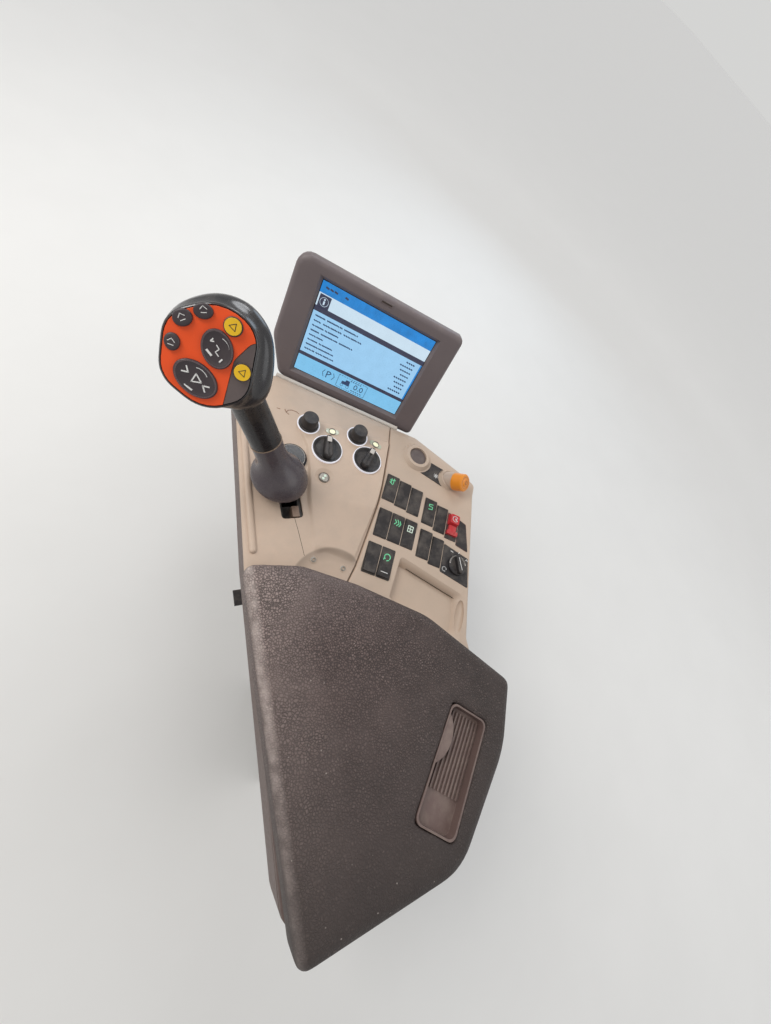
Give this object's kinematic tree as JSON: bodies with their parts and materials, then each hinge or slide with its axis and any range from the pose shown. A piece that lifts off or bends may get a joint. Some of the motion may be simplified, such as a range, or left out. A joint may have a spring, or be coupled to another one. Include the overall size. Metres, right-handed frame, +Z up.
{
  "type": "armrest control console",
  "caption": "Operator's armrest control console with padded lid over a bin, drive lever, switch panel and tilting terminal monitor, on a seat bracket.",
  "frame": {"origin": "centre of the seat bracket's four bolt holes, on the plate's outer face", "axes": "+X to the operator's right, +Y forward, +Z up; the bracket plate faces -X, towards the seat"},
  "size_m": [0.4467, 0.733, 0.5182],
  "materials": {
    "bracket_paint": "satin black paint",
    "zinc_steel": "zinc plated",
    "black_plastic": "fine grained",
    "rocker_plastic": "matt",
    "gloss_black": "polished",
    "red_guard": "smooth",
    "orange_cap": "smooth",
    "orange_face": "satin",
    "grey_plastic": "matt",
    "yellow_button": "satin",
    "lamp_white": "lit window",
    "beige_plastic": "fine grained",
    "brown_plastic": "grained",
    "pad_vinyl": "grained vinyl over foam",
    "monitor_plastic": "fine grained",
    "screen_glass": "lit display"
  },
  "bodies": {
    "bracket": {"seat_plate": "bracket_paint", "column": "bracket_paint", "height_knob": "black_plastic"},
    "carriage": {"slider": "zinc_steel", "rail_left": "zinc_steel", "rail_right": "zinc_steel", "slide_latch": "black_plastic"},
    "console": {"runner_left": "zinc_steel", "runner_right": "zinc_steel", "shell": "brown_plastic", "bin": "brown_plastic", "main_panel": "beige_plastic", "switch_panel": "beige_plastic", "gate_bracket": "bracket_paint", "gate_stop": "zinc_steel", "harness_gland": "black_plastic", "rockers_front": "rocker_plastic", "rockers_middle": "rocker_plastic", "rockers_rear": "rocker_plastic", "rockers_right_front": "rocker_plastic", "rockers_right_rear": "rocker_plastic", "guard_cover": "red_guard", "rotary_switch": "black_plastic", "ring_socket": "grey_plastic", "label_plate": "rocker_plastic", "push_button": "orange_cap", "push_collar": "zinc_steel", "knob_left": "black_plastic", "knob_right": "black_plastic", "selector_left": "black_plastic", "selector_right": "black_plastic", "dial": "gloss_black", "dimple_button": "zinc_steel", "lamp_windows": "lamp_white", "hinge_leaf": "zinc_steel", "monitor_stand": "black_plastic", "monitor_yoke": "zinc_steel"},
    "lever": {"lever_shank": "zinc_steel", "lever_boot": "black_plastic", "lever_stalk": "black_plastic", "lever_head": "black_plastic", "head_face": "orange_face", "head_inset": "grey_plastic", "head_pads": "grey_plastic", "head_buttons": "yellow_button"},
    "lid": {"lid_strap": "zinc_steel", "lid_pan": "brown_plastic", "pad": "pad_vinyl", "pad_insert": "brown_plastic", "pad_tab": "brown_plastic"},
    "monitor": {"monitor_lug": "black_plastic", "monitor_shell": "monitor_plastic", "monitor_bezel": "monitor_plastic", "screen": "screen_glass"}
  },
  "joints": [
    {"name": "height_slide", "type": "slide", "parent": "bracket", "child": "carriage", "axis": [0, 0, 1], "range_m": [-0.015, 0.045]},
    {"name": "fore_aft_slide", "type": "slide", "parent": "carriage", "child": "console", "axis": [0, 1, 0], "range_m": [-0.06, 0.06]},
    {"name": "lever_swing", "type": "hinge", "parent": "console", "child": "lever", "pos_m": [0.04, 0.32, 0.19], "axis": [-1, 0, 0], "range_deg": [-8, 8]},
    {"name": "lid_hinge", "type": "hinge", "parent": "console", "child": "lid", "pos_m": [0.046, -0.137, 0.242], "axis": [1, 0, 0], "range_deg": [0, 75]},
    {"name": "monitor_tilt", "type": "hinge", "parent": "console", "child": "monitor", "pos_m": [0.18684, 0.53328, 0.25969], "axis": [0.8988, -0.4384, 0], "range_deg": [-10, 10]}
  ]
}
